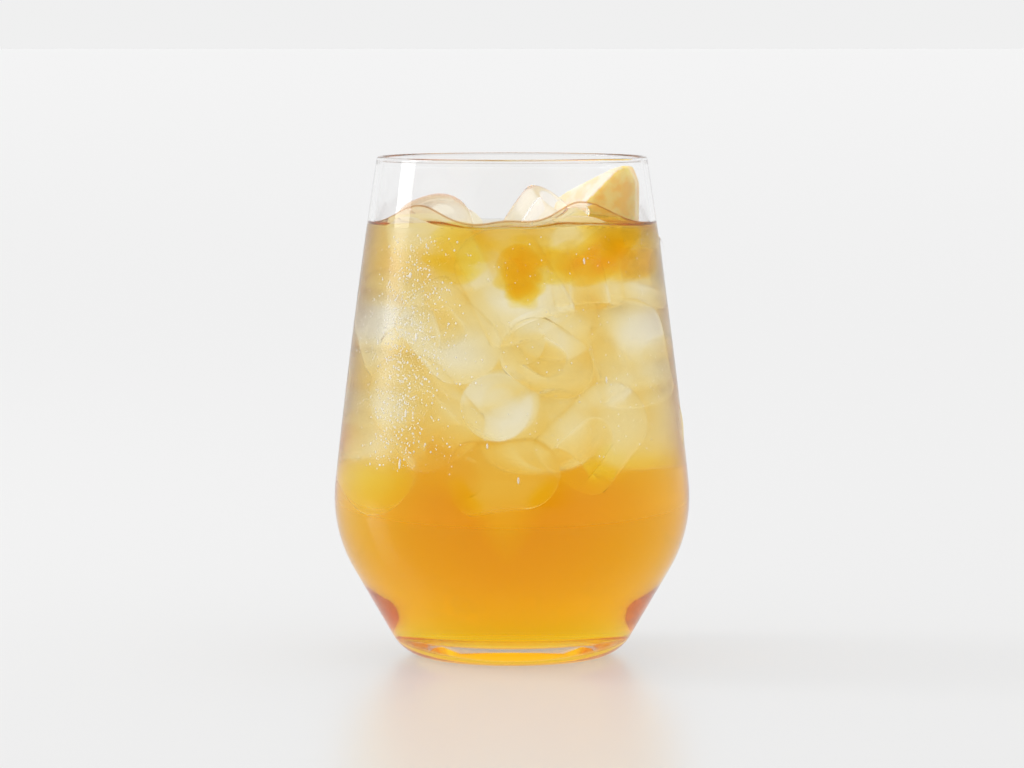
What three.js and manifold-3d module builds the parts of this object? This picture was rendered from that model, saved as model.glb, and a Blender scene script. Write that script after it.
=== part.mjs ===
// A stemless tumbler of iced apple juice with a wedge of yellow fruit.
// Millimetres, +Z up, origin at the centre of the foot. The drink's front faces -Y and +X is on its right.

import * as THREE from "three";
import { mergeVertices } from "three/addons/utils/BufferGeometryUtils.js";
import Module from "manifold-3d";

const wasm = await Module();
wasm.setup();

// ---- Driving dimensions ----

// Tumbler, outside: a tall side that flares down to a soft shoulder, then a steep cone in to the foot.
// A corner is where two straight stretches would meet before it is rounded.
const HEIGHT = 122;
const RIM_RADIUS = 32.95;
const SHOULDER_CORNER = { radius: 44.6, height: 31.6 };
const SHOULDER_ROUND = 34;
const SIDE_BULGE = 0.42;
const FOOT_CORNER_RADIUS = 26.2;
const FOOT_ROUND = 10;
const PUNT_RADIUS = 17.5;
const PUNT_HEIGHT = 1.1;

// Tumbler, inside: the wall grows from the rim down to a heavy base.
const RIM_WALL = 1.5;
const SHOULDER_WALL = 2.0;
const LOWER_WALL = 2.9;
const BASE_THICKNESS = 4.6;
const INNER_FOOT_ROUND = 22;

// Drink
const JUICE_LEVEL = 105;
const GAP = 0.35;
const MENISCUS = { rise: 0.5, reach: 1.6 };

// Ice: hollow bullets with one domed end
const ICE = { radius: 10.2, length: 26, hollow: 5.4, hollowDepth: 15, lip: 1.6, melt: 0.4 };

// Fruit: a wedge with two cut faces, leaning on the right-hand wall
const WEDGE = { thickness: 8.4, round: 1.1, turn: -15, depth: 1.6 };

// Facets: how many go round, and how far a facet may lie from the true arc
const ROUND_STEPS = 64;
const ICE_STEPS = 16;
const FINE = 0.1;
const COARSE = 0.25;

const DEGREE = Math.PI / 180;

// ---- Colours ----

const GLASS = { color: 0xe9efee, roughness: 0.05, metalness: 0, transparent: true, opacity: 0.3 };
const JUICE = { color: 0xe29f12, roughness: 0.1, metalness: 0 };
const FROZEN = { color: 0xefe6cf, roughness: 0.15, metalness: 0 };
const FRUIT = { color: 0xe9c56a, roughness: 0.5, metalness: 0 };

// ---- Outlines ----

// The points of an open outline with rounded corners, whose facets lie within a tolerance of the true arcs
function roundedOutline(corners, tolerance) {
  const points = [];
  corners.forEach(({ at, round }, i) => {
    if (!round) {
      points.push(at.clone());
      return;
    }
    const before = corners[i - 1].at.clone().sub(at).normalize();
    const after = corners[i + 1].at.clone().sub(at).normalize();
    const half = Math.acos(before.dot(after)) / 2;
    const toCentre = before.clone().add(after).setLength(round / Math.sin(half));
    const centre = at.clone().add(toCentre);
    const start = at.clone().addScaledVector(before, round / Math.tan(half));
    const end = at.clone().addScaledVector(after, round / Math.tan(half));
    const spoke = start.clone().sub(centre);
    const turn = Math.atan2(spoke.cross(end.clone().sub(centre)), spoke.dot(end.clone().sub(centre)));
    const steps = Math.ceil(Math.abs(turn) / (2 * Math.acos(1 - tolerance / round)));
    for (let k = 0; k <= steps; k++) points.push(start.clone().rotateAround(centre, (turn * k) / steps));
  });
  return points;
}

// The long straight side is split into pieces and bowed out by SIDE_BULGE at its middle.
function bowedSide(points) {
  const low = SHOULDER_CORNER.height + SHOULDER_ROUND / 3;
  const longest = 28;
  const out = [];
  points.forEach((point, i) => {
    const last = i ? points[i - 1] : point;
    const pieces = Math.max(1, Math.ceil(last.distanceTo(point) / longest));
    for (let k = 1; k <= pieces; k++) {
      const place = last.clone().lerp(point, k / pieces);
      const share = THREE.MathUtils.clamp((place.y - low) / (HEIGHT - low), 0, 1);
      out.push(new THREE.Vector2(place.x + 4 * SIDE_BULGE * share * (1 - share), place.y));
    }
  });
  return out;
}

// How far up the straight side a height lies, from 0 at the shoulder's corner to 1 at the rim
function shareOfSide(height) {
  return (height - SHOULDER_CORNER.height) / (HEIGHT - SHOULDER_CORNER.height);
}

// The inside of the tumbler from the centre of its floor up to a height, moved in by a clearance
function insideProfile(top, clearance) {
  const wall = THREE.MathUtils.lerp(SHOULDER_WALL, RIM_WALL, shareOfSide(top));
  const outside = THREE.MathUtils.lerp(SHOULDER_CORNER.radius, RIM_RADIUS, shareOfSide(top));
  const coneSlope = (SHOULDER_CORNER.radius - FOOT_CORNER_RADIUS) / SHOULDER_CORNER.height;
  const floor = BASE_THICKNESS + clearance;
  const foot = FOOT_CORNER_RADIUS + coneSlope * floor - LOWER_WALL - clearance;
  const inset = SHOULDER_WALL + clearance;
  const corners = [
    { at: new THREE.Vector2(0, floor) },
    { at: new THREE.Vector2(foot, floor), round: INNER_FOOT_ROUND - clearance },
    {
      at: new THREE.Vector2(SHOULDER_CORNER.radius - inset, SHOULDER_CORNER.height),
      round: SHOULDER_ROUND - inset,
    },
    { at: new THREE.Vector2(outside - wall - clearance, top) },
  ];
  return bowedSide(roundedOutline(corners, FINE));
}

// The outside of the tumbler, from the rim down to the centre of the hollow under the foot
function outsideProfile() {
  const corners = [
    { at: new THREE.Vector2(RIM_RADIUS, HEIGHT - RIM_WALL / 2) },
    { at: new THREE.Vector2(SHOULDER_CORNER.radius, SHOULDER_CORNER.height), round: SHOULDER_ROUND },
    { at: new THREE.Vector2(FOOT_CORNER_RADIUS, 0), round: FOOT_ROUND },
    { at: new THREE.Vector2(PUNT_RADIUS, 0) },
    { at: new THREE.Vector2(PUNT_RADIUS - 3, PUNT_HEIGHT * 0.8) },
    { at: new THREE.Vector2(0, PUNT_HEIGHT) },
  ];
  return bowedSide(roundedOutline(corners, FINE));
}

// The fire-polished rim: a half circle over from the inner wall to the outer one
function rimProfile() {
  const steps = 5;
  const centre = new THREE.Vector2(RIM_RADIUS - RIM_WALL / 2, HEIGHT - RIM_WALL / 2);
  const inner = new THREE.Vector2(RIM_RADIUS - RIM_WALL, centre.y);
  const points = [];
  for (let k = 1; k < steps; k++) points.push(inner.clone().rotateAround(centre, (-Math.PI * k) / steps));
  return points;
}

// ---- Solids ----

// A profile turned round the Z axis. It starts and ends on the axis, with the material on its left.
function turned(profile, steps) {
  return new THREE.LatheGeometry(profile, steps).rotateX(Math.PI / 2);
}

function solidOf(geometry) {
  const bare = geometry.index ? geometry.toNonIndexed() : geometry.clone();
  bare.deleteAttribute("normal");
  bare.deleteAttribute("uv");
  const merged = mergeVertices(bare, 1e-3);
  const mesh = new wasm.Mesh({
    numProp: 3,
    vertProperties: new Float32Array(merged.attributes.position.array),
    triVerts: new Uint32Array(merged.index.array),
  });
  return new wasm.Manifold(mesh);
}

function geometryOf(solid) {
  const { vertProperties, triVerts } = solid.getMesh();
  const geometry = new THREE.BufferGeometry();
  geometry.setAttribute("position", new THREE.BufferAttribute(new Float32Array(vertProperties), 3));
  geometry.setIndex(new THREE.BufferAttribute(new Uint32Array(triVerts), 1));
  geometry.computeVertexNormals();
  return geometry;
}

// Moves each vertex by a rule that depends only on its place, so the surface stays closed.
function reshape(geometry, move) {
  const places = geometry.attributes.position;
  const point = new THREE.Vector3();
  for (let i = 0; i < places.count; i++) {
    point.fromBufferAttribute(places, i);
    move(point);
    places.setXYZ(i, point.x, point.y, point.z);
  }
  return geometry;
}

// ---- Tumbler ----

function tumbler() {
  const inside = insideProfile(HEIGHT - RIM_WALL / 2, 0);
  const outside = outsideProfile();
  return turned([...outside.reverse(), ...rimProfile().reverse(), ...inside.reverse()], ROUND_STEPS);
}

// ---- Ice ----

// The lumps that break the surface. mouth is the way that the open end points.
const LUMPS = [
  { name: "ice_front_left", middle: [-17.2, -14.4, 100.4], mouth: [0.34, -0.1, -1], size: 1.0 },
  { name: "ice_front_right", middle: [16.0, -19.4, 96.6], mouth: [0.14, -0.2, -1], size: 0.8 },
  { name: "ice_middle", middle: [5.0, -4.6, 103.4], mouth: [0.6, -0.26, 0.8], size: 0.74 },
  { name: "ice_back_left", middle: [-16.0, 16.6, 96.4], mouth: [-0.12, 0.14, -1], size: 0.98 },
  { name: "ice_back_right", middle: [12.6, 20.2, 96.6], mouth: [0.08, 0.16, -1], size: 0.92 },
];

// Melting leaves a slow waviness, different on each lump.
function melted(point, phase) {
  const wave = Math.sin(point.x * 0.31 + phase) + Math.sin(point.y * 0.37 + 2 * phase);
  const swell = Math.sin(point.z * 0.29 + 3 * phase);
  const across = new THREE.Vector3(point.x, point.y, 0).normalize();
  point.addScaledVector(across, (ICE.melt * (wave + swell)) / 2);
  point.z += ICE.melt * 0.6 * Math.sin(point.x * 0.24 - phase);
}

// One lump, grown all round by a clearance when it is used to cut the drink
function lumpOfIce({ middle, mouth, size }, index, clearance) {
  const radius = ICE.radius * size + clearance;
  const half = (ICE.length * size) / 2 + clearance;
  const hollow = ICE.hollow * size - clearance;
  const end = ICE.hollowDepth * size - half - clearance;
  const corners = [
    { at: new THREE.Vector2(0, end) },
    { at: new THREE.Vector2(hollow * 0.82, end), round: hollow * 0.6 },
    { at: new THREE.Vector2(hollow, -half), round: ICE.lip * 0.8 },
    { at: new THREE.Vector2(radius, -half), round: ICE.lip },
    { at: new THREE.Vector2(radius * 0.94, half), round: radius * 0.86 },
    { at: new THREE.Vector2(0, half) },
  ];
  const bullet = turned(roundedOutline(corners, COARSE), ICE_STEPS);
  reshape(bullet, (point) => melted(point, 1.7 * (index + 1)));
  const down = new THREE.Vector3(0, 0, -1);
  const turn = new THREE.Quaternion().setFromUnitVectors(down, new THREE.Vector3(...mouth).normalize());
  return bullet.applyQuaternion(turn).translate(...middle);
}

// ---- Fruit ----

// The outline of the wedge seen from the front, from its top corner clockwise: across, up, rounding
const WEDGE_OUTLINE = [
  [28.6, 120.6, 1.4],
  [31.0, 115.5, 4],
  [30.7, 105, 8],
  [27.0, 91.0, 5],
  [17.0, 90.0, 5],
  [8.6, 111.2, 1.8],
];
const WEDGE_CENTRE = new THREE.Vector2(23, 105);

// The ridge between the two cut faces runs down the front from the top corner to this point.
const RIDGE_FOOT = new THREE.Vector2(19.4, 111.4);

function wedgeOfFruit(clearance) {
  const grow = 1.5 * clearance;
  const ring = WEDGE_OUTLINE.map(([across, up, round]) => {
    const spoke = new THREE.Vector2(across, up).sub(WEDGE_CENTRE);
    return { at: spoke.setLength(spoke.length() + grow).add(WEDGE_CENTRE), round };
  });
  const lead = { at: ring[ring.length - 1].at };
  const close = { at: ring[0].at };
  const outline = roundedOutline([lead, ...ring, close], FINE).slice(1, -1);
  const slab = new THREE.ExtrudeGeometry(new THREE.Shape(outline), {
    depth: WEDGE.thickness + 2 * clearance - 2 * WEDGE.round,
    bevelThickness: WEDGE.round,
    bevelSize: WEDGE.round,
    bevelOffset: -WEDGE.round,
    bevelSegments: 2,
  });
  slab.translate(0, 0, WEDGE.round - WEDGE.thickness / 2 - clearance).rotateX(Math.PI / 2);

  // The second cut face goes through the top edge at the back and the ridge at the front.
  const [top, left] = [WEDGE_OUTLINE[0], WEDGE_OUTLINE[5]];
  const back = WEDGE.thickness / 2;
  const plane = new THREE.Plane().setFromCoplanarPoints(
    new THREE.Vector3(top[0], -back, top[1]),
    new THREE.Vector3(left[0], back, left[1]),
    new THREE.Vector3(RIDGE_FOOT.x, -back, RIDGE_FOOT.y),
  );
  if (plane.normal.z > 0) plane.negate();
  const cut = solidOf(slab).trimByPlane(plane.normal.toArray(), -plane.constant - clearance);
  return geometryOf(cut)
    .translate(-WEDGE_CENTRE.x, 0, 0)
    .rotateZ(WEDGE.turn * DEGREE)
    .translate(WEDGE_CENTRE.x, WEDGE.depth, 0);
}

// ---- Drink ----

// The juice is drawn up the wall wherever ice stands against it. Angles are in degrees round the glass from
// its front, positive to the right, and before and after are the widths on each side of a climb's top.
const CLIMBS = [
  { angle: -41, height: 4.6, before: 17, after: 15 },
  { angle: -2, height: 1.2, before: 9, after: 12 },
  { angle: 29, height: 5.6, before: 14, after: 20 },
  { angle: 138, height: 1.8, before: 20, after: 16 },
  { angle: -146, height: 1.8, before: 12, after: 20 },
];
const CLIMB_REACH = 5;

function juiceHeight(x, y, wallRadius) {
  const fromWall = Math.max(0, wallRadius - Math.hypot(x, y));
  const angle = Math.atan2(x, -y) / DEGREE;
  let height = JUICE_LEVEL + MENISCUS.rise * Math.exp(-fromWall / MENISCUS.reach);
  for (const climb of CLIMBS) {
    const away = THREE.MathUtils.euclideanModulo(angle - climb.angle + 180, 360) - 180;
    const width = away < 0 ? climb.before : climb.after;
    height += climb.height * Math.exp(-((away / width) ** 2) - (fromWall / CLIMB_REACH) ** 2);
  }
  return height;
}

// The juice fills the tumbler up to its level, round the ice and the fruit.
function drink() {
  const side = insideProfile(JUICE_LEVEL, GAP);
  const wallRadius = side[side.length - 1].x;
  const lean = (RIM_RADIUS - SHOULDER_CORNER.radius) / (HEIGHT - SHOULDER_CORNER.height);
  const rings = [1, 0.975, 0.94, 0.9, 0.84, 0.75, 0.5, 0];
  const surface = rings.map((share) => new THREE.Vector2(wallRadius * share, JUICE_LEVEL + share));
  const body = turned([...side.slice(0, -1), ...surface], ROUND_STEPS);
  reshape(body, (point) => {
    if (point.z < JUICE_LEVEL - 1e-4) return;
    const height = juiceHeight(point.x, point.y, wallRadius);
    // The wall leans in, so what climbs it moves in as well.
    const squeeze = 1 + (lean * (height - JUICE_LEVEL)) / wallRadius;
    point.set(point.x * squeeze, point.y * squeeze, height);
  });
  const holes = LUMPS.map((lump, index) => solidOf(lumpOfIce(lump, index, GAP)));
  holes.push(solidOf(wedgeOfFruit(GAP)));
  const whole = holes.reduce((left, hole) => left.subtract(hole), solidOf(body));
  const bodies = whole.decompose().sort((a, b) => b.volume() - a.volume());
  return geometryOf(bodies[0]);
}

// ---- Assembly ----

const glassOfJuice = new THREE.Group();

function add(name, geometry, look) {
  const mesh = new THREE.Mesh(geometry, new THREE.MeshStandardMaterial(look));
  mesh.name = name;
  glassOfJuice.add(mesh);
}

add("tumbler", tumbler(), GLASS);
add("juice", drink(), JUICE);
LUMPS.forEach((lump, index) => add(lump.name, lumpOfIce(lump, index, 0), FROZEN));
add("fruit_wedge", wedgeOfFruit(0), FRUIT);

export default glassOfJuice;
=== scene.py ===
import math
import random

import bmesh
import bpy
import numpy as np
from mathutils import Matrix, Vector


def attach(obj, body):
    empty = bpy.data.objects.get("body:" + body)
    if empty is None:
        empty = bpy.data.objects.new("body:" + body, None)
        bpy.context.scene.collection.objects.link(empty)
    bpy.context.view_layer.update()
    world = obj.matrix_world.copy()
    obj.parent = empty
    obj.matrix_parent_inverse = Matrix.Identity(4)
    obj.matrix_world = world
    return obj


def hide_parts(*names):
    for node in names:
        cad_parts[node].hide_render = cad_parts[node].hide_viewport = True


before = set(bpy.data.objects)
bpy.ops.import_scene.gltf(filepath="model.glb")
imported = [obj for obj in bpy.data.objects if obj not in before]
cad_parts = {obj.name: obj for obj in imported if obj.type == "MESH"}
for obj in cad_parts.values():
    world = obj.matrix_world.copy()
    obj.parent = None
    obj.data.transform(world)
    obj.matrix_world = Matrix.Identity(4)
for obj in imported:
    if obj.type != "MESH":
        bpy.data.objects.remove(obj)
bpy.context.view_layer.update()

# A tumbler of iced apple juice. Lengths are in millimetres until a mesh is made. Angles round
# the tumbler are in degrees from the front, and grow towards the viewer's right.
MM = 0.001

# ---- Driving dimensions, as in the solids ----

HEIGHT = 122.0
RIM_RADIUS = 32.95
SHOULDER_CORNER = (44.6, 31.6)
SHOULDER_ROUND = 34.0
SIDE_BULGE = 0.42
FOOT_CORNER_RADIUS = 26.2
FOOT_ROUND = 10.0
PUNT_RADIUS = 17.5
PUNT_HEIGHT = 1.1

RIM_WALL = 1.5
SHOULDER_WALL = 2.0
LOWER_WALL = 2.9
BASE_THICKNESS = 4.6
INNER_FOOT_ROUND = 22.0

JUICE_LEVEL = 105.0
SOAK = 0.05              # how far a liquid reaches into what it wets, so that no air shows

ICE_RADIUS = 10.2
ICE_LENGTH = 26.0
ICE_HOLLOW = 5.4
ICE_HOLLOW_DEPTH = 15.0
ICE_LIP = 1.6
ICE_MELT = 0.4


# ---- Outlines ----

FACET = math.radians(4)
PUNT_EDGE_ROUND = 0.6
PUNT_SLOPE = 3.0         # how far in from its edge the hollow under the foot flattens
PUNT_SHARE = 0.8         # how much of its height it has there
PUNT_ROUND = 4.0


def rounded_outline(corners, facet=FACET):
    """The points of an open outline. Each corner is (across, up, rounding)."""
    points = []
    for i, (x, y, radius) in enumerate(corners):
        at = Vector((x, y))
        if not radius:
            points.append(at)
            continue
        before = (Vector(corners[i - 1][:2]) - at).normalized()
        after = (Vector(corners[i + 1][:2]) - at).normalized()
        half = before.angle(after) / 2
        centre = at + (before + after).normalized() * radius / math.sin(half)
        start = at + before * radius / math.tan(half)
        turn = math.pi - 2 * half
        side = math.copysign(1, before.cross(after))
        steps = max(2, math.ceil(turn / facet))
        for k in range(steps + 1):
            spoke = Matrix.Rotation(-side * turn * k / steps, 2) @ (start - centre)
            points.append(centre + spoke)
    return points


def resampled(points, longest):
    """The same outline with its long straight stretches split."""
    out = [points[0]]
    for a, b in zip(points, points[1:]):
        pieces = max(1, math.ceil((b - a).length / longest))
        out += [a.lerp(b, k / pieces) for k in range(1, pieces + 1)]
    return out


def bowed(points):
    """The straight side, bowed out by SIDE_BULGE at its middle."""
    low = SHOULDER_CORNER[1] + SHOULDER_ROUND / 3
    out = []
    for p in points:
        share = min(max((p.y - low) / (HEIGHT - low), 0), 1)
        out.append(Vector((p.x + 4 * SIDE_BULGE * share * (1 - share), p.y)))
    return out


def share_of_side(height):
    return (height - SHOULDER_CORNER[1]) / (HEIGHT - SHOULDER_CORNER[1])


def lerp(a, b, t):
    return a + (b - a) * t


def inside_outline(top, clearance=0.0, step=2.0):
    """The inside from the centre of the tumbler's floor to a height, moved in by a clearance."""
    wall = lerp(SHOULDER_WALL, RIM_WALL, share_of_side(top))
    outside = lerp(SHOULDER_CORNER[0], RIM_RADIUS, share_of_side(top))
    slope = (SHOULDER_CORNER[0] - FOOT_CORNER_RADIUS) / SHOULDER_CORNER[1]
    floor = BASE_THICKNESS + clearance
    foot = FOOT_CORNER_RADIUS + slope * floor - LOWER_WALL - clearance
    inset = SHOULDER_WALL + clearance
    return bowed(resampled(rounded_outline([
        (0, floor, 0),
        (foot, floor, INNER_FOOT_ROUND - clearance),
        (SHOULDER_CORNER[0] - inset, SHOULDER_CORNER[1], SHOULDER_ROUND - inset),
        (outside - wall - clearance, top, 0),
    ]), step))


def outside_outline(step=2.0):
    """The outside of the tumbler, from the rim to the centre of the hollow under its foot."""
    return bowed(resampled(rounded_outline([
        (RIM_RADIUS, HEIGHT - RIM_WALL / 2, 0),
        (*SHOULDER_CORNER, SHOULDER_ROUND),
        (FOOT_CORNER_RADIUS, 0, FOOT_ROUND),
        (PUNT_RADIUS, 0, PUNT_EDGE_ROUND),
        (PUNT_RADIUS - PUNT_SLOPE, PUNT_HEIGHT * PUNT_SHARE, PUNT_ROUND),
        (0, PUNT_HEIGHT, 0),
    ]), step))


INSIDE = inside_outline(HEIGHT)


def inner_radius(height):
    """The radius of the inside at a height on the shoulder or above it."""
    return float(np.interp(height, [p.y for p in INSIDE], [p.x for p in INSIDE]))


# ---- Meshes ----

SAME_PLACE = 1e-7        # metres within which two corners are one


def linked(name, mesh):
    made = bpy.data.objects.new(name, mesh)
    bpy.context.collection.objects.link(made)
    return made


def mesh_object(name, points, faces, smooth=True):
    mesh = bpy.data.meshes.new(name)
    mesh.from_pydata([tuple(c * MM for c in p) for p in points], [], faces)
    mesh.validate()
    if smooth:
        mesh.shade_smooth()
    return linked(name, mesh)


def turned(name, outline, steps, move=None, slots=None):
    """An outline with both ends on the axis, turned round it. slots holds each band's material."""
    points, rings, faces, looks = [], [], [], []
    for ring, p in enumerate(outline):
        count = 1 if abs(p.x) < 1e-6 else steps
        rings.append(list(range(len(points), len(points) + count)))
        for k in range(count):
            angle = 2 * math.pi * k / steps
            at = Vector((p.x * math.cos(angle), p.x * math.sin(angle), p.y))
            points.append(move(at, ring) if move else at)
    for band, (a, b) in enumerate(zip(rings, rings[1:])):
        for k in range(steps):
            n = (k + 1) % steps
            if len(a) == 1:
                faces.append((a[0], b[k], b[n]))
            elif len(b) == 1:
                faces.append((a[k], b[0], a[n]))
            else:
                faces.append((a[k], b[k], b[n], a[n]))
            looks.append(slots[band] if slots else 0)
    made = mesh_object(name, points, faces)
    made.data.polygons.foreach_set("material_index", looks)
    outwards(made)
    return made


def row_faces(rows, around, closed=False):
    """Faces between rows of points that go round, and from the last row to the first if closed."""
    faces = []
    for i in range(rows if closed else rows - 1):
        n = (i + 1) % rows
        for k in range(around):
            m = (k + 1) % around
            faces.append((i * around + k, i * around + m, n * around + m, n * around + k))
    return faces


def outwards(made):
    """Turns every face of a closed mesh outwards."""
    work = bmesh.new()
    work.from_mesh(made.data)
    bmesh.ops.recalc_face_normals(work, faces=work.faces)
    if work.calc_volume(signed=True) < 0:
        bmesh.ops.reverse_faces(work, faces=work.faces)
    work.to_mesh(made.data)
    work.free()


def twin(piece):
    return linked(piece.name, piece.data.copy())


def merge_into(whole, *parts):
    """Makes a piece of some meshes, with corners in the same place welded."""
    work = bmesh.new()
    for part in parts:
        work.from_mesh(part)
    bmesh.ops.remove_doubles(work, verts=work.verts, dist=SAME_PLACE)
    work.to_mesh(whole.data)
    work.free()


def settle_modifiers(piece):
    """Turns what the modifiers make into the piece's own mesh."""
    shown = piece.evaluated_get(bpy.context.evaluated_depsgraph_get())
    result = bpy.data.meshes.new_from_object(shown)
    piece.modifiers.clear()
    piece.data = result


def cut(made, tool, operation="DIFFERENCE"):
    """Takes a closed tool out of a closed mesh, or keeps what both share. The tool is used up."""
    modifier = made.modifiers.new("cut", "BOOLEAN")
    modifier.operation = operation
    modifier.solver = "MANIFOLD"
    modifier.object = tool
    settle_modifiers(made)
    bpy.data.objects.remove(tool)


def empty_slots(piece, count):
    """Slots without a material, so that a cut keeps each face's number."""
    for _ in range(count):
        piece.data.materials.append(None)


def only_look(made, look):
    """Gives every face one material."""
    made.data.materials.clear()
    made.data.materials.append(look)
    made.data.polygons.foreach_set("material_index", [0] * len(made.data.polygons))


def keep_faces(work, wanted, mesh):
    """Writes the wanted faces of a work mesh to a mesh, and ends the work."""
    unwanted = [face for face in work.faces if not wanted(face)]
    bmesh.ops.delete(work, geom=unwanted, context="FACES")
    work.to_mesh(mesh)
    work.free()


CUT_FACE = 3             # the slot that marks the faces which a cut makes


def half_of(whole, body, operation):
    """The faces of a piece that are out of the juice or in it, without the cut itself."""
    piece, tool = twin(whole), twin(body)
    for face in tool.data.polygons:
        face.material_index = CUT_FACE
    empty_slots(piece, CUT_FACE + 1)
    empty_slots(tool, CUT_FACE + 1)
    cut(piece, tool, operation)
    work = bmesh.new()
    work.from_mesh(piece.data)
    mesh = bpy.data.meshes.new("half")
    keep_faces(work, lambda face: face.material_index != CUT_FACE, mesh)
    bpy.data.objects.remove(piece)
    return mesh


def placed(made, node=None):
    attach(made, "root")
    if node:
        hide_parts(node)
    return made


# ---- Materials ----

# How strongly each bends light. Glass and ice against juice have the ratio of the two.
GLASS_IOR = 1.5
JUICE_IOR = 1.34
SURFACE_IOR = 1.1        # below that of juice, so that the hills don't turn into mirrors
ICE_IOR = 1.12           # likewise for ice in air
WET_ICE_IOR = 1.015
SOAKED_FRUIT_IOR = 1.01
DROPLET_IOR = 1.06
WATER_IOR = 1.33

# Tints: what red, green and blue lose per metre
JUICE_TINT = (1.2, 10.5, 46)
JUICE_FILM = (1.4, 14, 62)
# The line's tint is painted shade: much stronger than the juice's, it darkens the edge of the juice
# on the glass
PAINTED_LINE_SHADE = (500, 1150, 2000)
SETTLED_JUICE = (0.2, 1.2, 34)
SOAKED_FRUIT = (1, 34, 260)

# Fruit: a pale and a deep colour, and the strength of a painted glow that stands for light coming
# through the flesh
FLESH = ((0.95, 0.73, 0.22), (0.91, 0.55, 0.07), 0.16)
EDGE = ((0.90, 0.79, 0.64), (0.90, 0.70, 0.45), 0.02)

CLOUD = (1.0, 0.97, 0.92, 1)

MIST_FADE = (0.045, 0.068)      # the heights in metres between which the mist begins
MIST_UNEVEN = 0.03              # how far in metres that line wanders
MIST_SCALE = 90
MIST_ROUGHNESS = 0.22

FIBRE_SCALE = 240
FIBRE_SPREAD = (0.38, 0.62)     # the part of the noise that shades from pale to deep
FIBRE_DEPTH = 0.0004            # metres


def shader_of(made):
    return made.node_tree.nodes["Principled BSDF"]


def fill(node, values):
    """Sets inputs of a node to a number or colour, or links them to another node's output."""
    for name, value in values.items():
        if isinstance(value, bpy.types.NodeSocket):
            node.id_data.links.new(value, node.inputs[name])
        else:
            node.inputs[name].default_value = value


def add_node(tree, kind, values=None, **settings):
    made = tree.nodes.new(kind)
    for name, value in settings.items():
        setattr(made, name, value)
    fill(made, values or {})
    return made


def ranged(tree, value, span, to):
    """A smooth step between two values, as its input goes over a span."""
    return add_node(tree, "ShaderNodeMapRange", {
        "Value": value,
        "From Min": span[0],
        "From Max": span[1],
        "To Min": to[0],
        "To Max": to[1],
    }, interpolation_type="SMOOTHSTEP").outputs[0]


def computed(tree, operation, *values):
    return add_node(
        tree, "ShaderNodeMath", dict(enumerate(values)), operation=operation
    ).outputs[0]


def new_material(name, values=None):
    made = bpy.data.materials.new(name)
    made.use_nodes = True
    fill(shader_of(made), values or {})
    return made


def clear_material(name, ior, roughness=0.0):
    return new_material(name, {
        "Base Color": (1, 1, 1, 1),
        "Transmission Weight": 1,
        "IOR": ior,
        "Roughness": roughness,
        "Specular Tint": (0.5, 0.5, 0.5, 1),
    })


def milky(made, share):
    """Makes a clear material cloudy by a share."""
    fill(shader_of(made), {"Transmission Weight": 1 - share, "Base Color": CLOUD})
    return made


def absorbing(made, tint):
    """Fills a see-through material with a tint."""
    most = max(tint)
    volume = add_node(made.node_tree, "ShaderNodeVolumeAbsorption", {
        "Color": (*(1 - loss / most for loss in tint), 1),
        "Density": most,
    })
    fill(made.node_tree.nodes["Material Output"], {"Volume": volume.outputs[0]})
    return made


def tint_material(name, tint):
    """Colour without a surface of its own."""
    made = new_material(name)
    made.node_tree.nodes.remove(shader_of(made))
    see_through = add_node(made.node_tree, "ShaderNodeBsdfTransparent")
    fill(made.node_tree.nodes["Material Output"], {"Surface": see_through.outputs[0]})
    return absorbing(made, tint)


def misted_material():
    """Glass with fine condensation, which ends softly below the ice."""
    made = clear_material("misted_glass", GLASS_IOR)
    tree = made.node_tree
    where = add_node(tree, "ShaderNodeTexCoord").outputs["Object"]
    height = add_node(tree, "ShaderNodeSeparateXYZ", {0: where}).outputs["Z"]
    noise = add_node(tree, "ShaderNodeTexNoise", {
        "Vector": where,
        "Scale": MIST_SCALE,
        "Detail": 3,
    }).outputs[0]
    uneven = computed(tree, "MULTIPLY_ADD", noise, MIST_UNEVEN, height)
    fill(shader_of(made), {"Roughness": ranged(tree, uneven, MIST_FADE, (0.0, MIST_ROUGHNESS))})
    return made


def water_material():
    """Droplets: a weak lens with a glossy wet skin, made brighter still by a painted glow."""
    made = milky(clear_material("droplet_water", DROPLET_IOR, 0.1), 0.35)
    fill(shader_of(made), {
        "Base Color": (1, 1, 1, 1),
        # Painted glow: a faint white emission that brightens the droplets
        "Emission Color": (1, 0.98, 0.94, 1),
        "Emission Strength": 0.08,
        "Coat Weight": 1,
        "Coat IOR": WATER_IOR,
        "Coat Roughness": 0.05,
    })
    return made


def ice_in_air_material():
    made = milky(clear_material("ice_in_air", ICE_IOR, 0.08), 0.15)
    # Painted glow: a faint cream emission that brightens the ice standing out of the juice
    fill(shader_of(made), {"Emission Color": (1, 0.96, 0.88, 1), "Emission Strength": 0.09})
    return made


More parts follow.
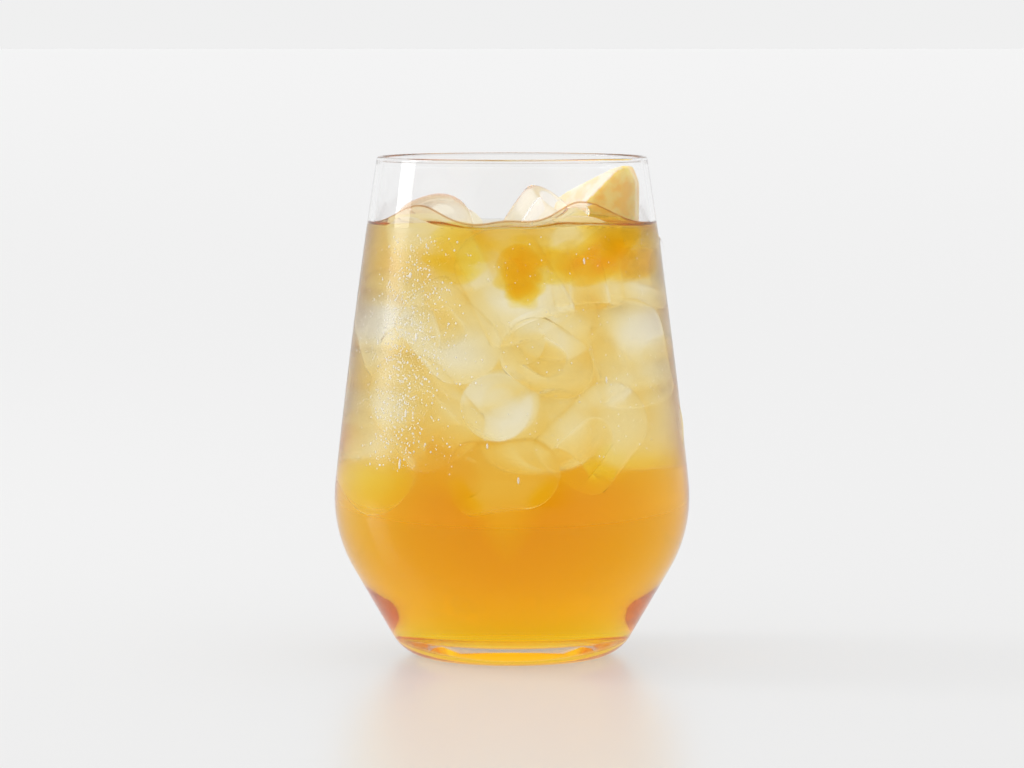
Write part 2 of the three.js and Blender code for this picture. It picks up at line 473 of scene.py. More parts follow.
def flesh_material(name, pale, deep, painted_glow):
    """Moist fruit flesh: fine fibres and cells that shade from one colour to another, with a
    painted glow that stands for light coming through it.
    """
    made = new_material(name)
    tree = made.node_tree
    where = add_node(tree, "ShaderNodeTexCoord").outputs["Object"]
    cells = add_node(tree, "ShaderNodeTexNoise", {
        "Vector": where,
        "Scale": FIBRE_SCALE,
        "Detail": 4,
    }).outputs[0]
    shade = add_node(tree, "ShaderNodeMix", {
        "A": (*pale, 1),
        "B": (*deep, 1),
        "Factor": ranged(tree, cells, FIBRE_SPREAD, (0.0, 1.0)),
    }, data_type="RGBA")
    bump = add_node(tree, "ShaderNodeBump", {
        "Strength": 0.35,
        "Distance": FIBRE_DEPTH,
        "Height": cells,
    })
    fill(shader_of(made), {
        "Base Color": shade.outputs["Result"],
        "Normal": bump.outputs[0],
        "Roughness": 0.32,
        "Subsurface Weight": 0.5,
        "Subsurface Radius": (1.0, 0.7, 0.3),
        "Subsurface Scale": 0.006,
        # Painted glow in the deep colour, for light coming through the flesh
        "Emission Color": (*deep, 1),
        "Emission Strength": painted_glow,
    })
    return made


# ---- Tumbler ----

RIM_STEPS = 12
GLASS_STEPS = 256
LINE_ROOM = 0.3          # the least height from the line of the juice to the next ring of glass
MIST_FROM, MIST_TOP = 14.0, 106.0
SQUEEZE_FROM, SQUEEZE_TO = 82.0, 118.0      # rings between these follow the line of the juice


def rim_outline():
    centre = Vector((RIM_RADIUS - RIM_WALL / 2, HEIGHT - RIM_WALL / 2))
    out = []
    for k in range(1, RIM_STEPS):
        angle = math.pi * k / RIM_STEPS
        out.append(centre + Vector((-math.cos(angle), math.sin(angle))) * RIM_WALL / 2)
    return out


def tumbler():
    """The glass. Its slots are glass in air, glass against juice and glass that is misted."""
    wet = inside_outline(JUICE_LEVEL)
    above = inside_outline(HEIGHT - RIM_WALL / 2)
    dry = [p for p in above if p.y > JUICE_LEVEL + LINE_ROOM]
    outline = wet + dry + rim_outline() + outside_outline()
    inside_count = len(wet) + len(dry)
    slots = [1] * (len(wet) - 1) + [0] * (len(outline) - len(wet))
    for band in range(inside_count, len(outline) - 1):
        if MIST_FROM < (outline[band].y + outline[band + 1].y) / 2 < MIST_TOP:
            slots[band] = 2

    def move(p, ring):
        """The line where the juice ends on the wall is one of the rings."""
        if ring >= inside_count or not SQUEEZE_FROM < p.z < SQUEEZE_TO:
            return p
        span = SQUEEZE_FROM if p.z < JUICE_LEVEL else SQUEEZE_TO
        share = (p.z - span) / (JUICE_LEVEL - span)
        unit = Vector((p.x, p.y, 0)).normalized()
        height = p.z + share * (line_height(unit.x, unit.y) - JUICE_LEVEL)
        return unit * inner_radius(height) + Vector((0, 0, height))

    made = turned("tumbler_glass", outline, GLASS_STEPS, move, slots)
    made.data.materials.append(clear_material("clear_glass", GLASS_IOR))
    made.data.materials.append(clear_material("glass_against_juice", GLASS_IOR / JUICE_IOR))
    made.data.materials.append(misted_material())
    placed(made, "tumbler")


# ---- Condensation ----

DROPLET_SEED = 11
DROPLETS = 5200
DROPLET_SIDES = 7
DROPLET_FOOT = 0.02                         # how far a droplet reaches into the glass
DROPLET_RINGS = ((1.0, 0.0), (0.8, 0.36))   # shares of its radius: across, and out of the glass
DROPLET_TOP = 0.55
DROPLET_STRETCH = 0.3                       # how much taller than wide one is, at the most
WETTED = (48, 104)                          # no droplet lies outside these heights

# The band on the left has a share of the droplets. Its angle and height are middle and spread.
BAND_SHARE = 0.45
BAND_ANGLE = (-40, 9)
BAND_HEIGHT = (76, 17)
BAND_RADIUS = (0.07, 0.22, 3)               # least, how much more, and how rare the large ones are
REST_HEIGHT = (52, 104)
REST_RADIUS = (0.06, 0.14, 4)

# Droplets that have grown or run: angle, height, half width, how many times taller
RUNS = [
    (-39, 50.0, 0.35, 4.0), (-41, 94.5, 0.45, 1.8), (-38, 62.0, 0.34, 3.4), (2, 47.0, 0.3, 3.0),
    (-36, 80.0, 0.34, 3.6), (34, 70.0, 0.3, 3.0), (28, 98.0, 0.32, 2.4), (-8, 55.0, 0.28, 2.6),
    (160, 66.0, 0.35, 4.0), (100, 58.0, 0.35, 3.0), (-120, 72.0, 0.35, 4.0),
]


def drawn_radius(least, more, rarity):
    return least + more * random.random() ** rarity


def droplet_places():
    """Where the fine droplets lie: angle in radians, height, radius, how many times taller."""
    random.seed(DROPLET_SEED)
    out = []
    for _ in range(DROPLETS):
        if random.random() < BAND_SHARE:
            angle = math.radians(random.gauss(*BAND_ANGLE))
            height = random.gauss(*BAND_HEIGHT)
            radius = drawn_radius(*BAND_RADIUS)
        else:
            angle = random.uniform(-math.pi, math.pi)
            height = random.uniform(*REST_HEIGHT)
            radius = drawn_radius(*REST_RADIUS)
        stretch = 1.0 + DROPLET_STRETCH * random.random()
        if WETTED[0] < height < WETTED[1]:
            out.append((angle, height, radius, stretch))
    return out


def droplets():
    """Fine droplets over the cold juice, thickest in a band on the left, and some that have run."""
    side = [p for p in reversed(outside_outline(0.5)) if p.y > 40]
    heights, radii = [p.y for p in side], [p.x for p in side]
    points, faces = [], []

    def outer_radius(height):
        return np.interp(height, heights, radii)

    def droplet(angle, height, radius, stretch):
        around = float(outer_radius(height)) - DROPLET_FOOT
        slope = float(outer_radius(height + 0.5) - outer_radius(height - 0.5))
        out = Vector((math.sin(angle), -math.cos(angle), -slope)).normalized()
        along = Vector((math.cos(angle), math.sin(angle), 0))
        up = out.cross(along) * stretch
        foot = Vector((math.sin(angle) * around, -math.cos(angle) * around, height))
        base = len(points)
        for wide, tall in DROPLET_RINGS:
            for k in range(DROPLET_SIDES):
                spoke = 2 * math.pi * k / DROPLET_SIDES
                rim = along * math.cos(spoke) + up * math.sin(spoke)
                points.append(foot + rim * radius * wide + out * radius * tall)
        points.append(foot + out * radius * DROPLET_TOP)
        for k in range(DROPLET_SIDES):
            a, b = base + k, base + (k + 1) % DROPLET_SIDES
            c, d = b + DROPLET_SIDES, a + DROPLET_SIDES
            faces.append((a, b, c, d))
            faces.append((d, c, base + 2 * DROPLET_SIDES))
        faces.append([base + k for k in reversed(range(DROPLET_SIDES))])

    for place in droplet_places():
        droplet(*place)
    for angle, *rest in RUNS:
        droplet(math.radians(angle), *rest)
    made = mesh_object("condensation", points, faces)
    outwards(made)
    made.data.materials.append(water_material())
    placed(made, None)


# ---- Ice ----

# The lumps that stand out of the juice: middle, the way the hollow faces, size
LUMPS = {
    "ice_front_left": ((-17.2, -14.4, 100.4), (0.34, -0.1, -1), 1.0),
    "ice_front_right": ((16.0, -19.4, 96.6), (0.14, -0.2, -1), 0.8),
    "ice_middle": ((5.0, -4.6, 103.4), (0.6, -0.26, 0.8), 0.74),
    "ice_back_left": ((-16.0, 16.6, 96.4), (-0.12, 0.14, -1), 0.98),
    "ice_back_right": ((12.6, 20.2, 96.6), (0.08, 0.16, -1), 0.92),
}
STANDING_PHASE = 1.7     # sets each lump's melting apart from the next one's
STANDING_STEPS = 64

# Sunk lumps that show at the front: middle, the way the domed end points, size
SEEN = [
    ((-3.4, -27.6, 63.0), (-0.13, -1.0, 0.0), 0.8),
    ((7.0, -27.5, 74.0), (0.1, 1.0, -0.1), 0.8),
    ((-0.6, -25.0, 49.0), (0.15, -0.5, -1.0), 0.85),
    ((-27.0, -18.0, 49.0), (-0.2, -0.2, -1.0), 0.95),
    ((21.0, -24.0, 56.0), (1.0, 0.3, 0.25), 0.95),
    ((29.0, -12.0, 76.0), (0.25, 0.0, 1.0), 0.95),
    ((-25.0, -20.0, 76.0), (-0.3, 0.1, 1.0), 1.0),
    ((-14.0, -27.0, 84.0), (1.0, -0.2, 0.2), 0.9),
]
LOBES = (2, 3)           # those of them that reach down into the settled juice
SUNK_PHASE = 0.9
SUNK_STEPS = 40
SUNK_DEPTHS = (3.0, 15.0, 3.0)      # how deep the hollows are, in turn

ICE_FACET = math.radians(12)
HOLLOW_TAPER = 0.82
DOME_TAPER, DOME_ROUND = 0.94, 0.86


def melted(point, phase):
    """A point of a lump, moved by the slow unevenness of melting."""
    wave = math.sin(point.x * 0.31 + phase) + math.sin(point.y * 0.37 + 2 * phase)
    swell = math.sin(point.z * 0.29 + 3 * phase)
    across = Vector((point.x, point.y, 0))
    if across.length > 1e-9:
        across.normalize()
    out = point + across * (ICE_MELT * (wave + swell) / 2)
    out.z += ICE_MELT * 0.6 * math.sin(point.x * 0.24 - phase)
    return out


def bullet(name, place, phase, clearance, steps, depth=ICE_HOLLOW_DEPTH):
    """A lump of bullet ice: a cylinder with a dome at one end and a hollow in the other."""
    middle, mouth, size = place
    radius = ICE_RADIUS * size + clearance
    half = ICE_LENGTH * size / 2 + clearance
    hollow = ICE_HOLLOW * size - clearance
    end = depth * size - half - clearance
    outline = resampled(rounded_outline([
        (0, end, 0),
        (hollow * HOLLOW_TAPER, end, min(hollow * 0.6, depth * 0.2)),
        (hollow, -half, ICE_LIP * 0.8),
        (radius, -half, ICE_LIP),
        (radius * DOME_TAPER, half, radius * DOME_ROUND),
        (0, half, 0),
    ], ICE_FACET), 2.0)
    turn = Vector((0, 0, -1)).rotation_difference(Vector(mouth).normalized())
    at = Vector(middle)
    return turned(name, outline, steps, lambda p, ring: turn @ melted(p, phase) + at)


def standing_lumps(name, clearance, steps):
    """Each lump that stands out of the juice, made as it is asked for. name may hold its node's."""
    for index, (node, place) in enumerate(LUMPS.items()):
        phase = STANDING_PHASE * (index + 1)
        yield node, bullet(name.format(node), place, phase, clearance, steps)


def sunk_lump(name, index, place, clearance):
    depth = SUNK_DEPTHS[index % len(SUNK_DEPTHS)]
    return bullet(name, place, SUNK_PHASE * index, clearance, SUNK_STEPS, depth)


def surface_ice(body):
    """The ice that stands out of the juice, which bends light less where it is under it."""
    in_air, in_juice = ice_in_air_material(), clear_material("wet_ice", WET_ICE_IOR)
    for node, whole in standing_lumps("{}_lump", 0, STANDING_STEPS):
        above = half_of(whole, body, "DIFFERENCE")
        below = half_of(whole, body, "INTERSECT")
        for face in below.polygons:
            face.material_index = 1
        merge_into(whole, above, below)
        whole.data.shade_smooth()
        whole.data.materials.append(in_air)
        whole.data.materials.append(in_juice)
        placed(whole, node)


PACK_SEED = 4
PACKED = 18              # how many more lumps are packed than are given above
PACKED_ACROSS = 30       # and where they start, and their sizes
PACKED_HEIGHTS = (54, 94)
PACKED_SIZES = (0.88, 1.06)
PACK_STEPS = 700
ICE_FLOOR = 45.5
LOBE_FLOOR = 38.0
ICE_ROOM, WALL_ROOM, TOP_ROOM = 0.3, 0.5, 1.0
BEADS = np.array([-1.0, -0.33, 0.33, 1.0])
BEAD_RADIUS = 0.97       # of the lump's

# How strongly a step of packing moves the beads and lumps
APART, FROM_WALL, FROM_TOP, FROM_FLOOR, RISE = 0.25, 0.6, 0.6, 0.5, 0.01
STEP, TURN, HOLD = 0.4, 0.01, 0.03


def packed_ice():
    """Places for the sunk ice. Each lump is a row of beads, pushed clear of all else."""
    random.seed(PACK_SEED)
    standing = [
        (Vector(at), -Vector(mouth).normalized(), size) for at, mouth, size in LUMPS.values()
    ]
    shown = [(Vector(at), Vector(way).normalized(), size) for at, way, size in SEEN]
    rest = []
    for _ in range(PACKED):
        angle = random.uniform(0, 2 * math.pi)
        across = PACKED_ACROSS * math.sqrt(random.random())
        height = random.uniform(*PACKED_HEIGHTS)
        at = Vector((across * math.cos(angle), across * math.sin(angle), height))
        way = Vector([random.gauss(0, 1) for _ in range(3)]).normalized()
        rest.append((at, way, random.uniform(*PACKED_SIZES)))
    lumps = standing + shown + rest
    middles = np.array([at for at, way, size in lumps])
    ways = np.array([way for at, way, size in lumps])
    sizes = np.array([size for at, way, size in lumps])
    first = len(standing) + 1
    held = np.zeros(len(lumps))
    held[first:len(standing) + len(shown)] = HOLD
    floors = np.full(len(lumps), ICE_FLOOR)
    floors[[len(standing) + lobe for lobe in LOBES]] = LOBE_FLOOR
    floors = np.repeat(floors, len(BEADS))
    start = middles.copy()

    half = ((ICE_LENGTH / 2 - ICE_RADIUS) * sizes)[:, None] * BEADS
    radii = np.repeat(ICE_RADIUS * sizes * BEAD_RADIUS, len(BEADS))
    owner = np.repeat(np.arange(len(lumps)), len(BEADS))
    others = owner[:, None] != owner[None, :]
    heights = np.linspace(20, JUICE_LEVEL, 80)
    walls = np.array([inner_radius(z) for z in heights])
    for _ in range(PACK_STEPS):
        beads = (middles[:, None] + ways[:, None] * half[:, :, None]).reshape(-1, 3)
        gap = beads[:, None] - beads[None]
        distance = np.linalg.norm(gap, axis=2) + 1e-9
        overlap = np.clip(radii[:, None] + radii[None] + ICE_ROOM - distance, 0, None) * others
        push = (gap / distance[:, :, None] * overlap[:, :, None]).sum(axis=1) * APART
        out = np.linalg.norm(beads[:, :2], axis=1) + 1e-9
        wall = np.interp(beads[:, 2], heights, walls)
        past = np.clip(out + radii - wall + WALL_ROOM, 0, None)
        push[:, :2] -= beads[:, :2] / out[:, None] * past[:, None] * FROM_WALL
        push[:, 2] -= np.clip(beads[:, 2] + radii - JUICE_LEVEL + TOP_ROOM, 0, None) * FROM_TOP
        push[:, 2] += np.clip(floors - beads[:, 2] + radii, 0, None) * FROM_FLOOR + RISE
        push = push.reshape(len(lumps), len(BEADS), 3)
        turn = np.cross(ways[:, None] * half[:, :, None], push).sum(axis=1)
        shift = push.sum(axis=1) * STEP + (start - middles) * held[:, None]
        middles[first:] += shift[first:]
        ways[first:] += np.cross(turn, ways)[first:] * TURN
        ways /= np.linalg.norm(ways, axis=1)[:, None]
    return [
        (tuple(middles[i]), tuple(-ways[i]), float(sizes[i]))
        for i in range(len(standing), len(lumps))
    ]


def sunk_ice(places):
    look = clear_material("ice_in_juice", WET_ICE_IOR)
    for index, place in enumerate(places):
        piece = sunk_lump(f"ice_sunk_{index:02d}", index, place, 0)
        piece.data.materials.append(look)
        placed(piece, None)


# ---- Fruit ----

WEDGE_VOXEL = 0.45
WEDGE_SOFTENING = 12
EDGE_SLOPE = 0.25        # how far left and up a face leans, to belong to the pale edge
EDGE_RIGHT = 0.0275      # metres: the edge lies to the left of this


def wedge(body):
    """The wedge of fruit, with softened edges: flesh above the juice, glowing through below it."""
    whole = linked("fruit_wedge_flesh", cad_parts["fruit_wedge"].data.copy())
    merge_into(whole, whole.data)
    even = whole.modifiers.new("even", "REMESH")
    even.mode = "VOXEL"
    even.voxel_size = WEDGE_VOXEL * MM
    soften = whole.modifiers.new("soften", "SMOOTH")
    soften.factor = 0.5
    soften.iterations = WEDGE_SOFTENING
    settle_modifiers(whole)
    whole.data.materials.clear()
    above = half_of(whole, body, "DIFFERENCE")
    below = half_of(whole, body, "INTERSECT")
    for face in above.polygons:
        normal = sum((above.vertices[v].normal for v in face.vertices), Vector()).normalized()
        leans = normal.x < -EDGE_SLOPE and normal.z > EDGE_SLOPE
        face.material_index = 1 if leans and face.center.x < EDGE_RIGHT else 0
    for face in below.polygons:
        face.material_index = 2
    merge_into(whole, above, below)
    whole.data.shade_smooth()
    soaked = clear_material("soaked_fruit", SOAKED_FRUIT_IOR, 0.2)
    whole.data.materials.append(flesh_material("fruit_flesh", *FLESH))
    whole.data.materials.append(flesh_material("fruit_edge", *EDGE))
    whole.data.materials.append(absorbing(soaked, SOAKED_FRUIT))
    return placed(whole, "fruit_wedge")


# Fruit sunk in the juice: middle, half size across, deep and up, turn about the front axis, and
# what green and blue lose in it
SUNK_FRUIT = [
    ("crescent", (-13.0, -31.0, 97.0), (8.4, 3.0, 3.4), 5, (20, 230)),
    ("cloud", (-11.0, -28.0, 101.0), (9.0, 4.4, 5.2), -4, (9, 120)),
    ("chunk", (1.8, -28.5, 93.8), (6.8, 5.0, 6.6), 24, (44, 300)),
    ("flake", (11.5, -28.0, 97.6), (8.0, 4.2, 4.6), -14, (24, 200)),
    ("slice", (20.0, -25.0, 99.0), (10.0, 5.2, 5.6), -24, (32, 260)),
    ("shred", (3.0, -30.0, 101.2), (7.6, 2.4, 3.2), 8, (20, 190)),
]
FRUIT_SEED = 5
SHREDS = 3
SHRED_SIZES = (0.35, 0.55)
SHRED_REACH = 0.8        # how far out of the piece's middle a shred lies
CORE_SIZE = 0.66
PULP_RED = 0.6
PULP_STRENGTH = 0.62     # of the tints above, as each piece is made of bodies that overlap


def sunk_fruit():
    """Soft uneven fruit under the surface, each piece with a denser core and shreds of pulp."""
    chance = random.Random(FRUIT_SEED)
    for name, middle, half, turn, tint in SUNK_FRUIT:
        parts = [("", (0, 0, 0), 1.0), ("_core", (0, 0, 0), CORE_SIZE)]
        for shred in range(SHREDS):
            way = Vector([chance.uniform(-1, 1) for _ in range(3)]).normalized()
            parts.append((f"_shred_{shred}", way * SHRED_REACH, chance.uniform(*SHRED_SIZES)))
        look = (PULP_RED, *(PULP_STRENGTH * loss for loss in tint))
        for suffix, offset, share in parts:
            at = [m + o * h for m, o, h in zip(middle, offset, half)]
            size = [h * share for h in half]
            piece = pulp("fruit_" + name + suffix, at, size, turn, chance.uniform(0, 6))
            piece.data.materials.append(tint_material("soaked_" + piece.name, look))
            placed(piece, None)


def pulp(name, middle, half, turn, phase):
    """A soft uneven body, sagged at its ends if it is a crescent."""
    work = bmesh.new()
    bmesh.ops.create_icosphere(work, subdivisions=4, radius=1)
    for v in work.verts:
        x, y, z = v.co
        slow = 0.13 * math.sin(3.1 * x + 2 * z + phase)
        quick = 0.09 * math.sin(5.3 * z - 2.2 * x + 2 * phase)
        swell = 1 + slow + quick
        sag = 0.5 * (x * x - 0.5) if "crescent" in name else 0.15 * math.sin(2.4 * x + phase)
        v.co = (x * half[0] * swell, y * half[1] * swell, (z + sag) * half[2] * swell)
    tilt = Matrix.Rotation(math.radians(turn), 3, "Y")
    bmesh.ops.rotate(work, verts=work.verts, cent=(0, 0, 0), matrix=tilt)
    bmesh.ops.translate(work, verts=work.verts, vec=middle)
    bmesh.ops.scale(work, verts=work.verts, vec=(MM, MM, MM))
    mesh = bpy.data.meshes.new(name)
    work.to_mesh(mesh)
    work.free()
    mesh.shade_smooth()
    return linked(name, mesh)


# ---- Drink ----

# Where the juice climbs the wall: angle, height, and widths before and after the angle
CLIMBS = [
    (-41, 4.6, 17, 15),
    (-2, 1.2, 9, 12),
    (29, 5.6, 14, 20),
    (138, 1.8, 20, 16),
    (-146, 1.8, 12, 20),
]
CLIMB_REACH = 3.2
WALL_MENISCUS = (1.2, 1.3)      # its height and reach
BACK_MENISCUS = 0.2             # of that height, at the back

# Rings of the drink's surface: the share of its radius, how many, and how they thin out
OUTER_RINGS = (0.55, 48, 1.6)
INNER_RINGS = (0.45, 20)


def juice_height(x, y, wall_radius):
    """The height of the juice's surface at a place."""
    from_wall = max(0.0, wall_radius - math.hypot(x, y))
    angle = math.degrees(math.atan2(x, -y))
    meniscus = WALL_MENISCUS[0] * math.exp(-from_wall / WALL_MENISCUS[1])
    height = JUICE_LEVEL + meniscus * (BACK_MENISCUS if y > 0 else 1.0)
    for at, rise, before, after in CLIMBS:
        away = (angle - at + 180) % 360 - 180
        width = before if away < 0 else after
        height += rise * math.exp(-((away / width) ** 2) - from_wall / CLIMB_REACH)
    return height


def line_height(x, y):
    """The height of the juice on the wall, in the direction of a place."""
    radius = inner_radius(JUICE_LEVEL)
    return juice_height(x * radius, y * radius, radius)


def drink_body(name, inset, drop, steps):
    """The drink as a closed mesh, moved in from the glass and down. Slot 1 is its surface."""
    side = inside_outline(JUICE_LEVEL, inset)
    wall_radius = side[-1].x
    outer, count, power = OUTER_RINGS
    shares = [1 - outer * (k / count) ** power for k in range(count)]
    inner, count = INNER_RINGS
    shares += [inner * (1 - k / count) for k in range(count + 1)]
    surface = [Vector((wall_radius * s, JUICE_LEVEL + s)) for s in shares]
    first = len(side) - 1

    def move(p, ring):
        if ring < first:
            share = (p.z - SQUEEZE_FROM) / (JUICE_LEVEL - SQUEEZE_FROM)
            if share <= 0:
                return p
            unit = Vector((p.x, p.y, 0)).normalized()
            rise = line_height(unit.x, unit.y) - drop - JUICE_LEVEL
            height = p.z + share * rise
            return unit * (inner_radius(height) - inset) + Vector((0, 0, height))
        height = juice_height(p.x, p.y, wall_radius) - drop
        squeeze = (inner_radius(height) - inset) / wall_radius
        return Vector((p.x * squeeze, p.y * squeeze, height))

    slots = [0] * first + [1] * (len(surface) - 1)
    return turned(name, side[:-1] + surface, steps, move, slots)


def drink_surface(body, fruit):
    """The top of the drink, with openings where ice and fruit stand in it."""
    made = twin(body)
    made.name = "juice_surface"
    empty_slots(made, 3)
    for _, tool in standing_lumps("tool", 0.0, STANDING_STEPS):
        cut(made, tool)
    cut(made, twin(fruit))
    work = bmesh.new()
    work.from_mesh(made.data)
    keep_faces(work, lambda face: face.material_index == 1, made.data)
    only_look(made, clear_material("juice_surface", SURFACE_IOR))
    made.data.shade_smooth()
    placed(made, None)


POCKET_STEPS = 192
POCKET_DROP = 0.05       # below the surface of the drink
STANDING_ROOM, SUNK_ROOM = 0.2, 0.05
TOOL_STEPS = 48


def pockets(places, fruit):
    """The juice in the gaps between the ice."""
    made = drink_body("juice_body", -SOAK, POCKET_DROP, POCKET_STEPS)
    for _, tool in standing_lumps("tool", STANDING_ROOM, TOOL_STEPS):
        cut(made, tool)
    for index, place in enumerate(places):
        cut(made, sunk_lump("tool", index, place, SUNK_ROOM))
    cut(made, twin(fruit))
    only_look(made, tint_material("apple_juice", JUICE_TINT))
    placed(made, "juice")


SETTLED_TOPS = (40.5, 43.5, 46.5)
SETTLED_FROM = 20.0      # below this the layers fill the tumbler
SETTLED_STEPS = 160
SETTLED_RINGS = 40
LAYER_INSET = (0.3, 0.15)       # of the first layer, and how much more each next one has
LAYER_ROOM = (0.1, 0.05)         # likewise round the ice in it
LAYER_REACH = 16.0       # lumps with their middle further above a layer don't touch it

# Where ice melts into the layers: across, deep, half width
DIPS = [(-30.0, 15.0, 9.0), (-0.6, 13.0, 6.5), (37.0, 4.0, 6.0)]


def tide(x, y, index):
    """How far the top of a settled layer lies from its level at a place."""
    rise = 1.1 * math.sin(x * 0.31 + 1.0 + index) + 0.9 * math.sin(y * 0.21 + 2 * index)
    rise += 0.6 * math.sin((x + y) * 0.53 + 2.4 * index)
    for across, deep, width in DIPS:
        rise -= deep * math.exp(-(((x - across + 0.8 * index) / width) ** 2))
    return rise


def settled_layer(index, top):
    inset = LAYER_INSET[0] + LAYER_INSET[1] * index
    side = [p for p in inside_outline(HEIGHT, inset, 1.0) if p.y <= top]
    radius = side[-1].x
    surface = [
        Vector((radius * (1 - k / SETTLED_RINGS), top + 0.01 * k))
        for k in range(1, SETTLED_RINGS + 1)
    ]

    def move(p, ring):
        if p.z <= SETTLED_FROM:
            return p
        on_side = ring < len(side)
        flat = Vector((p.x, p.y, 0))
        unit = flat.normalized() if p.x or p.y else Vector((1, 0, 0))
        at = unit * radius if on_side else flat
        reach = top + tide(at.x, at.y, index) - SETTLED_FROM
        height = SETTLED_FROM + (p.z - SETTLED_FROM) * reach / (top - SETTLED_FROM)
        share = 1 if on_side else math.hypot(p.x, p.y) / radius
        return unit * (inner_radius(height) - inset) * share + Vector((0, 0, height))

    return turned(f"settled_juice_{index}", side + surface, SETTLED_STEPS, move)


def settled(places):
    """The stronger juice that has settled under the ice, in layers that shade into each other."""
    look = tint_material("settled_juice", SETTLED_JUICE)
    for index, top in enumerate(SETTLED_TOPS):
        made = settled_layer(index, top)
        gap = LAYER_ROOM[0] + LAYER_ROOM[1] * index
        for at, place in enumerate(places):
            if place[0][2] < top + LAYER_REACH:
                cut(made, sunk_lump("tool", at, place, gap))
        only_look(made, look)
        placed(made, None)


FILM = 1.6               # how thick the juice between the ice and the wall is
FILM_FROM = 46.0
FILM_BELOW = 0.5         # how far under the juice's level it ends
FILM_INSET = 0.02
FILM_STEPS = 160


def film():
    """The juice between the ice and the wall, which warms the sides: a closed ring in the drink."""
    outer = [
        p for p in inside_outline(HEIGHT, FILM_INSET, 1.0)
        if FILM_FROM <= p.y <= JUICE_LEVEL - FILM_BELOW
    ]
    ring = outer + [p - Vector((FILM, 0)) for p in reversed(outer)]
    points = [
        (p.x * math.cos(angle), p.x * math.sin(angle), p.y)
        for p in ring for angle in (2 * math.pi * k / FILM_STEPS for k in range(FILM_STEPS))
    ]
    made = mesh_object("juice_film", points, row_faces(len(ring), FILM_STEPS, closed=True))
    outwards(made)
    made.data.materials.append(tint_material("juice_film", JUICE_FILM))
    placed(made, None)


LINE_RADIUS = 0.3
LINE_REACH = 125         # degrees to each side of the front
LINE_FADE = 0.72         # how soon the line thins away from the front
LINE_THINNEST = 0.05     # of its radius
LINE_SINK = 0.9          # of its radius lies inside the wall's surface
LINE_STEPS, LINE_SIDES = 300, 8


def contact_line():
    """A painted dark line where the juice meets the front of the glass: a thin, strongly tinted
    bead that fades to the back, standing for the shade at the juice's edge.
    """
    points = []
    for k in range(LINE_STEPS + 1):
        angle = math.radians(lerp(-LINE_REACH, LINE_REACH, k / LINE_STEPS))
        x, y = math.sin(angle), -math.cos(angle)
        height = line_height(x, y)
        thick = LINE_RADIUS * max(LINE_THINNEST, math.cos(angle * LINE_FADE))
        wall = inner_radius(height) - thick * LINE_SINK
        for side in range(LINE_SIDES):
            turn = 2 * math.pi * side / LINE_SIDES
            out = wall + thick * math.cos(turn)
            points.append((x * out, y * out, height + thick * math.sin(turn)))
    faces = row_faces(LINE_STEPS + 1, LINE_SIDES)
    faces.append(list(range(LINE_SIDES)))
    faces.append([LINE_STEPS * LINE_SIDES + side for side in reversed(range(LINE_SIDES))])
    made = mesh_object("painted_line_shade", points, faces)
    outwards(made)
    made.data.materials.append(tint_material("painted_line_shade", PAINTED_LINE_SHADE))
    placed(made, None)


# ---- Stage ----

FLOOR_REACH = 40000
FLOOR_GREY = 0.28
FLOOR_GLOW = 0.34        # with it the far floor is as bright as the sky at the horizon

# The sky is brighter above, and dim in front up to a height. Spans are parts of a direction.
SKY = (0.87, 1.22)       # at the horizon and straight up
DIM_HEIGHTS = (0.35, 0.75)
DIM_AHEAD = (-0.68, -0.95)
DIM_SHARE = 0.75

# The window, in metres and watts
WINDOW_PLACE, WINDOW_AIM = (-1.0, 0.14, 0.6), (0, 0, 0.1)
WINDOW_SIZE = (0.36, 1.0)
WINDOW_POWER = 6

# The camera, in metres, and its focal length in pixels of the photo
CAMERA_PLACE, CAMERA_AIM = (0, -1.083, 0.152), (0, 0, 0.0664)
FOCAL_PIXELS, PHOTO_WIDTH = 4450, 1024
SENSOR = 36


def stage():
    corners = [(-1, -1), (1, -1), (1, 1), (-1, 1)]
    points = [(x * FLOOR_REACH, y * FLOOR_REACH, 0) for x, y in corners]
    floor = mesh_object("floor", points, [(0, 1, 2, 3)], smooth=False)
    floor.data.materials.append(new_material("pale_floor", {
        "Base Color": (FLOOR_GREY, FLOOR_GREY, FLOOR_GREY, 1),
        "Roughness": 0.3,
        "Emission Color": (1, 1, 1, 1),
        "Emission Strength": FLOOR_GLOW,
    }))


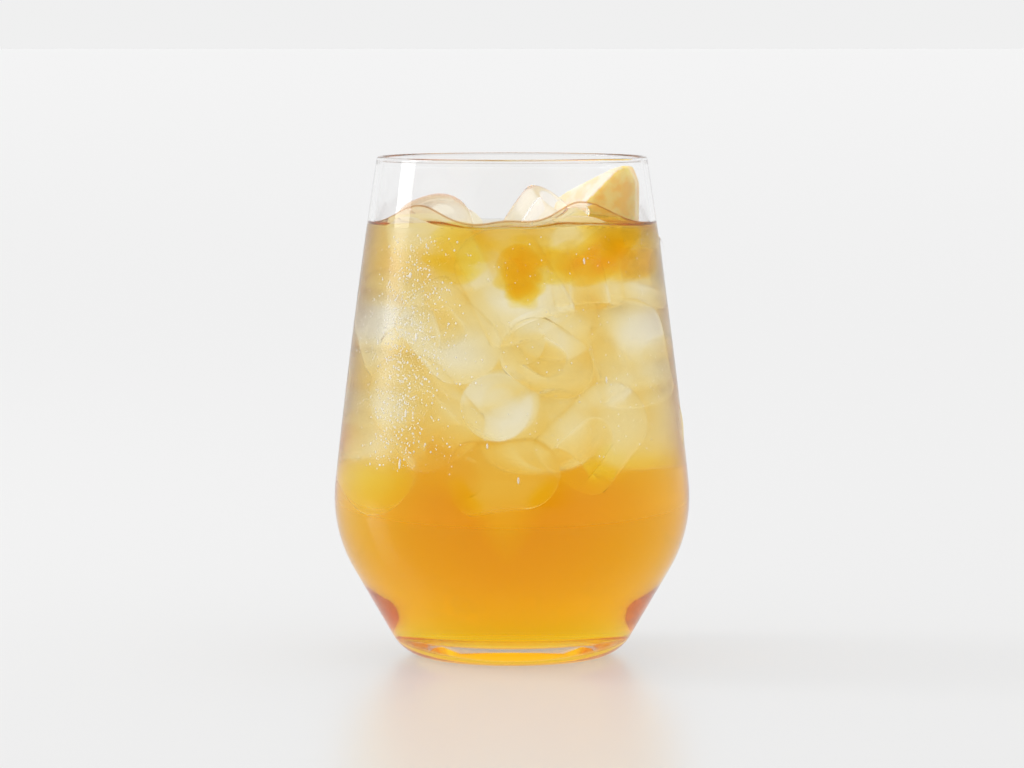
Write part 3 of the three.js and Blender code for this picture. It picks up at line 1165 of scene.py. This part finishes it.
def studio():
    """Soft light from all round, a little stronger from above and dim on the camera's side."""
    world = bpy.data.worlds.new("studio")
    world.use_nodes = True
    tree = world.node_tree
    where = add_node(tree, "ShaderNodeTexCoord").outputs["Generated"]
    split = add_node(tree, "ShaderNodeSeparateXYZ", {0: where})
    up = ranged(tree, split.outputs["Z"], (0.0, 1.0), SKY)
    low = ranged(tree, split.outputs["Z"], DIM_HEIGHTS, (1.0, 0.0))
    ahead = ranged(tree, split.outputs["Y"], DIM_AHEAD, (0.0, DIM_SHARE))
    dim = computed(tree, "MULTIPLY", low, ahead)
    left = computed(tree, "SUBTRACT", 1.0, dim)
    fill(tree.nodes["Background"], {
        "Strength": computed(tree, "MULTIPLY", up, left),
        "Color": (1, 1, 1, 1),
    })
    bpy.context.scene.world = world


def aimed(made, place, target):
    """Puts a lamp or camera in its place and turns it to a target."""
    made.location = place
    made.rotation_euler = (Vector(target) - Vector(place)).to_track_quat("-Z", "Y").to_euler()


def window():
    """A tall soft light on the left, which gives the glass its long highlight."""
    data = bpy.data.lights.new("window", "AREA")
    data.shape = "RECTANGLE"
    data.size, data.size_y = WINDOW_SIZE
    data.energy = WINDOW_POWER
    lamp = linked("window", data)
    aimed(lamp, WINDOW_PLACE, WINDOW_AIM)
    lamp.visible_transmission = False
    lamp.visible_camera = False


def camera():
    data = bpy.data.cameras.new("camera")
    data.sensor_width = SENSOR
    data.lens = FOCAL_PIXELS / PHOTO_WIDTH * SENSOR
    made = linked("camera", data)
    aimed(made, CAMERA_PLACE, CAMERA_AIM)
    bpy.context.scene.camera = made


camera()
stage()
studio()
window()
tumbler()
droplets()
places = packed_ice()
sunk_ice(places)
body = drink_body("body", -SOAK, 0, GLASS_STEPS)
surface_ice(body)
fruit = wedge(body)
sunk_fruit()
drink_surface(body, fruit)
bpy.data.objects.remove(body)
pockets(places, fruit)
settled(places)
film()
contact_line()

# Light crosses many surfaces in the ice
scene = bpy.context.scene
scene.view_settings.view_transform = "Standard"
scene.cycles.max_bounces = 36
scene.cycles.transmission_bounces = 36
scene.cycles.transparent_max_bounces = 256
scene.cycles.diffuse_bounces = 3
scene.cycles.glossy_bounces = 24
